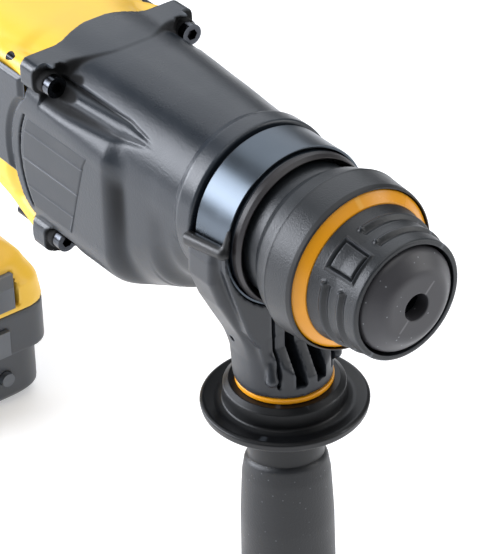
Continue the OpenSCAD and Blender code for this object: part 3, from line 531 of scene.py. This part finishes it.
def hollows(p):
    """Depth of the valleys in front of the upper screws, and distance to the screw pockets. Across
    a valley the depth goes as the square of the distance from its middle, which leaves a fin, with
    a steep wall above and a soft one below."""
    x, z, ay = p[..., 0], p[..., 2], np.abs(p[..., 1])
    q = np.stack([x, ay, z], -1)
    pocket = join(rod(q, (-159.5, 32.0, 21.0), (-150.0, 31.0, 22.0), 6.3, 5.0),
                  rod(q, (-157.5, 26, 25.5), (-151.5, 25.5, 25.2), 3.0, 3.6), 2.0)
    pocket = np.minimum(pocket, rod(q, (-158, 32.5, -45), (-148, 33.5, -43), 6.6, 4.6))
    pocket = np.maximum(pocket, -(x + 162.5))
    seat = np.minimum(np.hypot(ay - 29.5, z - 21), np.hypot(ay - 29.5, z + 43.3)) - 4.4
    pocket = cut(pocket, np.maximum(seat, x + 158.8), 0.5)
    turn = np.degrees(np.arctan2(z, -ay))
    reach = np.hypot(ay, z) * np.pi / 180              # mm round the tool for a degree
    upper = station(x, (-150, -121, -110, -103), (138, 138, 141, 144.2))
    lower = station(x, (-154, -139, -124, -110, -103), (152, 151, 150, 146, 144.8))
    off = (turn - (upper + lower) / 2) * reach
    half = np.maximum((lower - upper) / 2 * reach, 0.15)
    fade = np.clip((x + 102) / -46, 0, 1)              # 0 at the valley's tip, 1 at the pocket
    beyond = np.maximum(np.abs(off) - half, 0)
    wall = np.where(off > 0, 0.8 + 2.6 * fade, 0.7)
    depth = np.where(beyond > 0, np.exp(-(beyond / wall) ** 2),
                     np.clip(np.abs(off) / half, 0, 1) ** 2)
    depth = depth * (2.7 * fade + 0.2) * rise(fade * 4) * ((z > 5) & (x > -162))
    return depth, pocket


def gear_case(p):
    """A dome and a nose joined to a wider block with flat flanks, with bosses at the rear corners,
    a pocket and a fading valley with a fin in front of each upper screw, and a seam's groove."""
    x, z, ay = p[..., 0], p[..., 2], np.abs(p[..., 1])
    half = station(x, (-171, -140, -116, -100, -84), (31.2, 31.2, 30.6, 29.6, 29.0))
    top = station(x, (-171, -140, -110, -84), (30.3, 30.9, 30.0, 28.9))
    low = station(x, (-171, -128, -116, -103, -92, -84), (-51, -51, -49.5, -45, -36, -30.0))
    bend = station(x, (-171, -140, -108, -84), (25.0, 27.4, 28.6, 28.8))
    radius = np.where(z > -8, bend, 27.5)
    nose = rounded_slab(ay, z, -half, half, low, top, radius)
    flank = FLANK - 6.6 * rise((x + 125) / 14)
    shelf = station(x, (-171, -124, -108), (20.5, 15.0, 7.0))
    block = rounded_slab(ay, z, -flank, flank, low + 1.0, shelf, station(
        x, (-171, -124, -108), (10.5, 10.5, 12.0)) + 9 * rise((-20 - z) / 10))
    block = np.maximum(block, x + 106)
    body = join(nose, block, 1.6 + 3.6 * rise((z + 2) / 10))
    q = np.stack([x, ay, z], -1)
    rim = rounded_slab(ay, z, -35.0, 35.0, 16.2, 28.4 + 2.5 * rise((21 - ay) / 17), 4.2)
    rim = cut(rim, rim_front(ay) - x, 0.8)
    foot = rounded_box(q, (-200, 0, -50.2), (-157.6, 34.6, -37.5), 4.2)
    body = join(body, np.minimum(rim, foot), 1.2)
    depth, pocket = hollows(p)
    body = cut(body + 0.8 * depth, pocket, 0.6)
    slit = np.abs(x - rear_edge(z) - 5.0) - 0.6
    slit = np.maximum(np.maximum(slit, 32.9 - ay), np.abs(z + 14) - 19)
    body = cut(body, slit, 0.4)
    edge = rear_edge(z) * rise((ay - 16) / 10) - 170.6 * (1 - rise((ay - 16) / 10))
    edge -= 3.2 * np.clip(1 - (ay / 17) ** 2, 0, 1) * (z > 0)
    return np.maximum(np.maximum(body, edge - x), x + 79.5)


case_nylon = finish("glass-filled nylon, blue-grey satin", "#1b2128", 0.3, grain_mm=0.8,
                    depth_mm=0.06, mottle=0.07, wear="#8d97a3", worn=0.25, ior=1.5,
                    paints_recess_shade=True)
collar = evened(eased([(-93, 27.0, 1), (-87.4, 29.5, 1.2), (-84.6, 30.9, 1.6), (-77.6, 30.9, 0.7),
                       (-77.0, 30.2, 0.3), (-77.0, 27.9, 0.3), (-56.9, 27.9, 0.3),
                       (-56.9, 27.0, 0.3), (-67, 27.0, 0.3), (-67, 22, 0.3), (-56.2, 22, 0.3),
                       (-56.2, 15.6, 0.3), (-93, 15.6, 0.3)]), 0.6)
case = piece("gear_case", [skin_of(gear_case, (-183, -36, -52), (-79, 36, 32), 0.7),
                           ring(collar, 220)], case_nylon, "housing",
             ["gearcase"], sharp=60)
# painted shade: the pockets and valleys, a line in front of the rim, the step behind the nose and a
# faint band across the nose are blackened where shade falls
spots = np.zeros(3 * len(case.data.vertices))
case.data.vertices.foreach_get("co", spots)
spots = spots.reshape(-1, 3) * 1000
depth, pocket = hollows(spots)
sx, sy, sz = spots[:, 0], np.abs(spots[:, 1]), spots[:, 2]
painted_shade = np.maximum(rise((1.1 - pocket) / 1.0), rise((depth - 0.7) / 1.6) * 0.92)
line = np.exp(-((sx - rim_front(sy) - 0.7) / (0.3 + 0.07 * np.clip(sy, 0, 22))) ** 2)
painted_shade = np.maximum(painted_shade, line * rise((sy - 4) / 14) * (sz > 22) * (sy < 28))
step = np.exp(-((sx + 117.5) / np.where(sx > -117.5, 2.6, 5.5)) ** 2)
painted_shade = np.maximum(painted_shade, step * rise((6 - sz) / 10) * (0.95 - 0.6 * rise((-8 - sz) / 30)))
painted_shade = np.maximum(painted_shade, 0.35 * np.exp(-((sx + 99) / 5) ** 2) * rise((2 - sz) / 12))
painted_shade = painted_shade * (sx > -164.5)
case.data.attributes.new("painted_shade", "FLOAT", "POINT").data.foreach_set("value", painted_shade)

# ---- collar lip ----
# A dark brown nylon ring closes the front of the collar and shields the recess that the locking
# sleeve slides back into.
lip_nylon = finish("nylon, dark brown, fine texture", "#1d191a", 0.42, grain_mm=0.6, depth_mm=0.04,
                   mottle=0.12, wear="#5c5250", worn=0.3)
lip_line = eased([(-56.6, 27.1, 0.2), (-56.6, 28.4, 0.3), (-54.6, 28.2, 1.6), (-52.9, 27.5, 0.3),
                  (-52.9, 27.1, 0.2), (-55.5, 26.0, 0.5), (-66, 26.0, 0.2), (-66, 27.1, 0.2)])
piece("collar_lip", [ring(lip_line, 240)], lip_nylon, "housing")

# ---- wear pad on the right flank ----
# A thin rubber pad with fine raised lines is moulded on the right flank, on which the tool is laid
# down. The mode selector has its place on the left flank.


def flank_patch(side, x_of, z_low, z_high, base, height, rows, columns):
    """A patch on a flank. Point (u, v) stands base + height mm out from the middle plane, where
    height falls to zero round the border; a flat sheet behind closes it."""
    u, v = np.meshgrid(np.linspace(0, 1, rows), np.linspace(0, 1, columns), indexing="ij")
    z = z_low + (z_high - z_low) * v
    x = x_of(u, z)
    border = rise(np.minimum(np.minimum(u, 1 - u) * 22, np.minimum(v, 1 - v) * 22))
    out = base - 0.5 + border * (0.5 + height(x, z))
    front = np.stack([x, side * out, z], -1)
    behind = np.stack([x, 0 * x + side * (base - 0.5), z], -1)
    return np.concatenate([front, behind[:, ::-1]], 1), quads(rows, 2 * columns, False, True)


def pad_x(u, z):
    """The pad runs from the bowed rear seam to a front edge that slants back as it goes down."""
    front = -134.2 - 0.33 * np.clip(-z, 0, 40) + 0.6 * np.clip(z, 0, 10)
    return (rear_edge(z) + 6.2) * (1 - u) + front * u


def pad_height(x, z):
    """0.3 mm, and 0.3 mm more along three level lines and one line that joins their ends."""
    tall = 0.28 + 0 * x
    end = -135.0 - 0.33 * np.clip(-z, 0, 40)
    for level in (-1.6, -13.9, -24.6):
        tall += 0.32 * np.exp(-((z - level) / 0.34) ** 2) * (x < end)
    tall += 0.32 * np.exp(-((x - end) / 0.34) ** 2) * (z < -1.4)
    return tall


pad_nylon = finish("rubberised nylon, matt", "#1a1f25", 0.42, grain_mm=0.6, depth_mm=0.03,
                   mottle=0.06, wear="#9aa2ad", worn=0.8)
piece("flank_pad", [flank_patch(-1, pad_x, -33.5, 5.5, FLANK, pad_height, 130, 130)], pad_nylon,
      "housing", ["side_pad"])

# ---- motor housing ----
# A yellow shell over the motor, moulded in ABS blend and held by the long screws of the gear case.
# Grey vented panels are let into its sides to cool the motor.


def motor_form(p):
    """A rounded rectangle whose sizes vary along the motor, with a boss round each long screw."""
    x, y, z = p[..., 0], p[..., 1], p[..., 2]
    half = station(x, (-171, -181, -187, -235, -262), (31.4, 31.6, 33.8, 33.6, 31.6))
    top = station(x, (-171, -188, -235, -262), (27.7, 28.0, 27.5, 25.2))
    body = rounded_slab(y, z, -half, half, -47 + 0 * x, top, 22.0)
    q = np.stack([x, np.abs(y), z], -1)
    boss = np.minimum(rod(q, (-165, 29.3, 21), (-196, 26.5, 17), 5.0, 4.0),
                      rod(q, (-165, 29.3, -43), (-196, 26, -37), 5.0, 4.0))
    return np.maximum(np.maximum(join(body, boss, 2.5), x + 171.0), -(x + 261.9))


shell_yellow = finish("ABS blend, yellow, fine texture", "#ecbd38", 0.4, grain_mm=0.6,
                      depth_mm=0.012, mottle=0.05, wear="#fff0b0", worn=0.2)
piece("motor_shell", [skin_of(motor_form, (-263, -35, -49), (-170, 35, 29), 1.25)], shell_yellow,
      "housing", ["motor_housing"])


def panel_x(u, z):
    """The panels run from the gear case's bowed edge back to a rounded rear end."""
    return (rear_edge(z) - 0.35) * (1 - u) + (-243 + 10 * np.abs((z + 1.5) / 22) ** 3) * u


def panel_height(x, z):
    """0.8 mm, less the five upright vents, which go down to the shell."""
    tall = 0.8 + 0 * x
    for vent in np.arange(-228, -195, 8.0):
        inside = np.maximum(np.abs(x - vent) - 1.5, np.abs(z + 8) - 13.5)
        tall -= 0.72 * rise((0.5 - inside) / 0.8)
    return tall


panel_parts = [flank_patch(s, panel_x, -23.0, 20.0, FLANK, panel_height, 200, 90) for s in (-1, 1)]
# painted shade: the shallow floors of the vents take the black finish, standing in for the dark inside
# of open vents
piece("motor_side_panels", panel_parts, [case_nylon, lip_rubber], "housing",
      pick=lambda x, y, z: (np.abs(y) < FLANK + 0.45) & (np.abs(z + 8) < 13.6) & (x < -194) & (x > -230))

# ---- handle ----
# The rear head, the pistol grip and the foot are two yellow shells that meet at the middle plane
# and are screwed together from the right side.
# places (along, up) of the six screws
screw_places = [(-270, 12), (-270, -39.5), (-325, -46), (-336, -128.5), (-297, -134), (-370, -144)]


def handle_form(p):
    """The rear head along the tool and the grip with its foot, as rounded rectangles whose sizes
    vary along each, joined with a wide fillet."""
    x, z, ay = p[..., 0], p[..., 2], np.abs(p[..., 1])
    head = rounded_slab(
        ay, z, -station(x, (-262, -298, -322, -334), (31.4, 25.5, 18.5, 12)),
        station(x, (-262, -298, -322, -334), (31.4, 25.5, 18.5, 12)),
        station(x, (-262, -290, -322, -334), (-45, -45.5, -46, -46)),
        station(x, (-262, -280, -298, -322, -334), (25, 22.5, 16.5, 0, -22)),
        station(x, (-262, -298, -322, -334), (22, 20, 16, 11)))
    head = np.maximum(np.maximum(head, x + 262.1), -(x + 336))
    rear = station(z, (-30, -48, -90, -122, -131, -140, -149, -157.4),
                   (-330, -335, -339.5, -345, -354, -374, -382.5, -384))
    front = station(z, (-30, -48, -90, -124, -132, -139, -147, -157.4),
                    (-286, -287, -294, -299, -292, -280, -274.5, -273))
    half = station(z, (-30, -48, -90, -124, -133, -141, -149, -157.4),
                   (19, 19.5, 18.2, 18, 23.5, 32, 35.5, 36))
    grip = rounded_slab(x, ay, rear, front, -half, half,
                        station(z, (-30, -60, -120, -140, -157), (13, 15, 15, 13, 12)))
    grip = np.maximum(np.maximum(grip, z + 30), -(z + 157.4))
    return join(head, grip, 9)


def handle_shell(side):
    """One half: the form on its own side of the middle plane, less the mouths and seats."""
    def field(p):
        x, y, z = p[..., 0], p[..., 1], p[..., 2]
        body = handle_form(p)
        for low, high in (((-304, -8.8, -85.3), (-260, 8.8, -51.7)),
                          ((-292.4, -60, -47.4), (-283.6, 60, -39.6)),
                          ((-281, -20, -155), (-260, 20, -141)),
                          ((-376, -20, -170), (-290, 20, -148.4))):
            body = cut(body, rounded_box(p, low, high, 0.8), 0.6)
        if side < 0:
            for sx, sz in screw_places:
                bore = np.maximum(np.hypot(x - sx, z - sz) - 3.4, y + 11.8)
                body = cut(body, bore, 0.5)
        return cut(body, side * y - 0.1, 0.7)
    return field


for side, node in ((1, "handle_left"), (-1, "handle_right")):
    low = (-386, 0 if side > 0 else -37, -158)
    high = (-261, 37 if side > 0 else 0, 27)
    piece(node + "_shell", [skin_of(handle_shell(side), low, high, 1.25)], shell_yellow,
          "housing", [node], sharp=50)

# ---- grip rubber ----
# A black rubber skin moulded over the back of the grip, with rows of small round studs. Each
# point of it slides in along its own aim until it stands its thickness off the grip.
turn, level = np.meshgrid(np.radians(np.linspace(98, 262, 180)), np.linspace(-50, -125, 170),
                          indexing="ij")
u, v = np.meshgrid(np.linspace(0, 1, 180), np.linspace(0, 1, 170), indexing="ij")
border = rise(np.minimum(np.minimum(u, 1 - u) * 18, np.minimum(v, 1 - v) * 16))
studs = np.cos(np.degrees(turn) * np.pi / 4.5) * np.cos(level * np.pi / 2.4)
thick = -0.5 + border * (2.0 + 0.35 * rise(studs))
aim = np.stack([np.cos(turn), np.sin(turn), 0 * turn], -1)
start = np.stack([-318 - 0.09 * (-50 - level), 0 * turn, level], -1)
reach = np.full(turn.shape, 45.0)
for _ in range(40):
    reach -= 0.85 * (handle_form(start + aim * reach[..., None]) - thick)
skin = start + aim * reach[..., None]
under = start + aim * (reach - thick - 0.6)[..., None]
grid = np.concatenate([skin, under[:, ::-1]], 1)
ends = quads(grid.shape[0], grid.shape[1], False, True)
cap = [(np.stack([skin[k], under[k]]), quads(2, skin.shape[1], False, False)) for k in (0, -1)]
piece("grip_rubber_skin", [(grid, ends)] + cap, grip_rubber, "housing",
      ["grip_rubber"])

# ---- battery ----
# A slide-on lithium battery in two dark grey polycarbonate shells, with a latch at its front. The
# shells close round the cells, and the lower one is set in under the seam.

SEAM = -178.0                          # height of the seam between the two shells


def battery_top(p):
    """A rounded block, less the T-shaped slot that the rail of the foot runs in."""
    x, y, z = p[..., 0], p[..., 1], p[..., 2]
    body = rounded_box(p, (-385, -36, -190), (-273, 36, -157.9), 1.6)
    corner = rounded_slab(x, y, -385, -273, -36, 36, 12)
    body = cut(body, -corner, 1.2)
    body = cut(body, z - SEAM - 0.1, 0.8)
    slot = rounded_box(p, (-400, -14, -161.3), (-293, 14, -150), 0.3)
    shoe = rounded_box(p, (-400, -16.8, -165.3), (-293, 16.8, -160.7), 0.3)
    latch = rounded_box(p, (-279.5, -13.4, -176.3), (-260, 13.4, -163.7), 0.8)
    return cut(body, np.minimum(np.minimum(slot, shoe), latch), 0.3)


def battery_low(p):
    """The lower shell, set in under the seam, with a bevel round its foot."""
    x, y, z = p[..., 0], p[..., 1], p[..., 2]
    inset = 1.8 + 5.5 * np.clip((-199.2 - z) / 5.8, 0, 1) ** 1.3
    side = rounded_slab(x, y, -384 + inset, -274.5 - inset, -34.5 + inset, 34.5 - inset, 12)
    body = cut(side, z + 205, 0.6)
    body = np.maximum(body, z - SEAM + 0.1)
    button = np.maximum(np.hypot(y - 12, z + 190) - 3.3, -(x + 279.5))
    return cut(body, button, 0.4)


case_grey = finish("polycarbonate blend, dark grey", "#3c3f44", 0.42, grain_mm=0.6,
                   depth_mm=0.02, mottle=0.08, wear="#7b8087", worn=0.35)
piece("battery_upper_shell", [skin_of(battery_top, (-386, -37, -179), (-272, 37, -157), 1.15)],
      case_grey, "battery", ["battery_top_case"], sharp=50)
piece("battery_lower_shell", [skin_of(battery_low, (-385, -36, -206), (-273, 36, -177), 1.15)],
      case_grey, "battery", ["battery_bottom_case"], sharp=50)

# ---- inner parts and small fittings ----
# The gears, shafts, bearings, motor, cells and small fittings have their right shape already, and
# keep it. Each takes the finish of its own slot, and the screws are black oxide steel.
by_slot = {
    "nylon_grey": nylon_dark, "sleeve_plastic": sleeve_nylon, "rubber_black": lip_rubber,
    "shell_yellow": shell_yellow, "black_plastic": case_grey, "band_steel": band_steel,
    "ground_steel": finish("alloy steel, ground", "#b9bdc1", 0.24, 0.3, 0.003, metal=1.0),
    "gear_steel": finish("case-hardened steel, oiled", "#6d6f72", 0.34, 0.4, 0.006, metal=1.0),
    "motor_lamination": finish("silicon steel, stacked", "#7c7f84", 0.4, 0.5, 0.02, metal=1.0,
                               squeeze=(6, 0.2, 0.2)),
    "copper_winding": finish("copper wire, enamelled", "#b5602a", 0.28, 0.8, 0.08, metal=1.0,
                             squeeze=(0.2, 2, 2)),
    "bush_bronze": finish("bronze, sintered", "#b08a4a", 0.4, 0.4, 0.02, metal=1.0),
    "frame_aluminium": finish("aluminium, die cast", "#9a9da1", 0.42, 0.9, 0.02, metal=1.0),
    "lead_insulation": finish("PVC insulation", "#7a2f2a", 0.4, 1.0, 0.01),
    "led_clear": finish("polycarbonate, clear tinted", "#dfe6ea", 0.12, 2.0, 0.002, coat=0.5),
    "cell_wrap": finish("PVC shrink sleeve, green", "#4f8f6a", 0.3, 1.5, 0.01, coat=0.3),
    "circuit_board": finish("glass-epoxy board", "#2f6b46", 0.35, 1.2, 0.01, coat=0.4),
}
black_oxide = finish("steel, black oxide, oiled", "#26262a", 0.22, 0.5, 0.01, metal=1.0)
for part in frame["record"]["subparts"]:
    node = frame["nodes"][part["node"]]
    if node.hide_render:
        continue
    node.data.materials.clear()
    black = part["node"] in ("gearcase_screws", "handle_screws")
    node.data.materials.append(black_oxide if black else by_slot[part["material_slot"]])

# ---- room, light and camera ----
# A table of opal acrylic, lit from below, stands 0.2 mm under the battery. A large soft box to the
# left and two behind rake the shoulders, softer ones stand above and in front, in a dim room.
table_z, half_table = -0.2052, 9       # metres
floor_mesh = bpy.data.meshes.new("floor")
floor_mesh.from_pydata([(-half_table, -half_table, table_z), (half_table, -half_table, table_z),
                        (half_table, half_table, table_z), (-half_table, half_table, table_z)],
                       [], [(0, 1, 2, 3)])
floor = bpy.data.objects.new("floor", floor_mesh)
bpy.context.scene.collection.objects.link(floor)
opal = finish("acrylic, opal, lit from below", "#f4f4f5", 0.7, 4.0, 0.01, mottle=0.01)
glow = opal.node_tree.nodes["Principled BSDF"]
glow.inputs["Emission Color"].default_value = linear("#ffffff")
glow.inputs["Emission Strength"].default_value = 0.33
floor_mesh.materials.append(opal)
floor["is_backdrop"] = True


def soft_box(name, place, aim, size, power, colour="#ffffff"):
    """An area light at a place in metres, turned to face aim."""
    lamp = bpy.data.lights.new(name, "AREA")
    lamp.shape, lamp.size, lamp.size_y = "RECTANGLE", size[0], size[1]
    lamp.energy, lamp.color = power, linear(colour)[:3]
    made = bpy.data.objects.new(name, lamp)
    made.location = place
    made.rotation_mode = "QUATERNION"
    made.rotation_quaternion = (Vector(aim) - Vector(place)).to_track_quat("-Z", "Y")
    bpy.context.scene.collection.objects.link(made)


soft_box("left soft box", (-1.0, -1.25, 0.7), (-0.1, 0, -0.02), (1.2, 1.0), 33, "#f2f6ff")
soft_box("rear strip", (-1.5, -0.7, 0.28), (-0.1, 0, 0), (0.7, 0.5), 13, "#f2f6ff")
soft_box("rear top soft box", (-1.0, 0.55, 1.0), (-0.1, 0, 0), (1.4, 1.4), 10, "#f4f8ff")
soft_box("overhead soft box", (0.3, 0.2, 1.9), (-0.1, 0, 0), (2.2, 2.2), 20)
soft_box("front soft box", (0.9, 1.2, 0.5), (-0.05, 0, -0.02), (0.9, 0.9), 8)
sky = bpy.data.worlds.new("white room")
sky.use_nodes = True
sky.node_tree.nodes["Background"].inputs["Color"].default_value = linear("#e9edf2")
sky.node_tree.nodes["Background"].inputs["Strength"].default_value = 0.24
bpy.context.scene.world = sky
bpy.context.scene.view_settings.view_transform = "Standard"

camera = bpy.data.cameras.new("camera")
camera.lens, camera.sensor_width = 200.1, 36
camera.clip_start, camera.clip_end = 0.05, 50
eye = bpy.data.objects.new("camera", camera)
# the way that the camera's right, its top and its back point
right = Vector((0.60718635, 0.79415566, -0.02532847))
up = Vector((-0.42967125, 0.35499362, 0.83027836))
back = Vector((0.6683617, -0.49325077, 0.55677313))
turned_to = Matrix((right, up, back)).transposed().to_4x4()
eye.matrix_world = Matrix.Translation((0.63332, -0.53201, 0.56450)) @ turned_to
bpy.context.scene.collection.objects.link(eye)
bpy.context.scene.camera = eye

low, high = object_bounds()
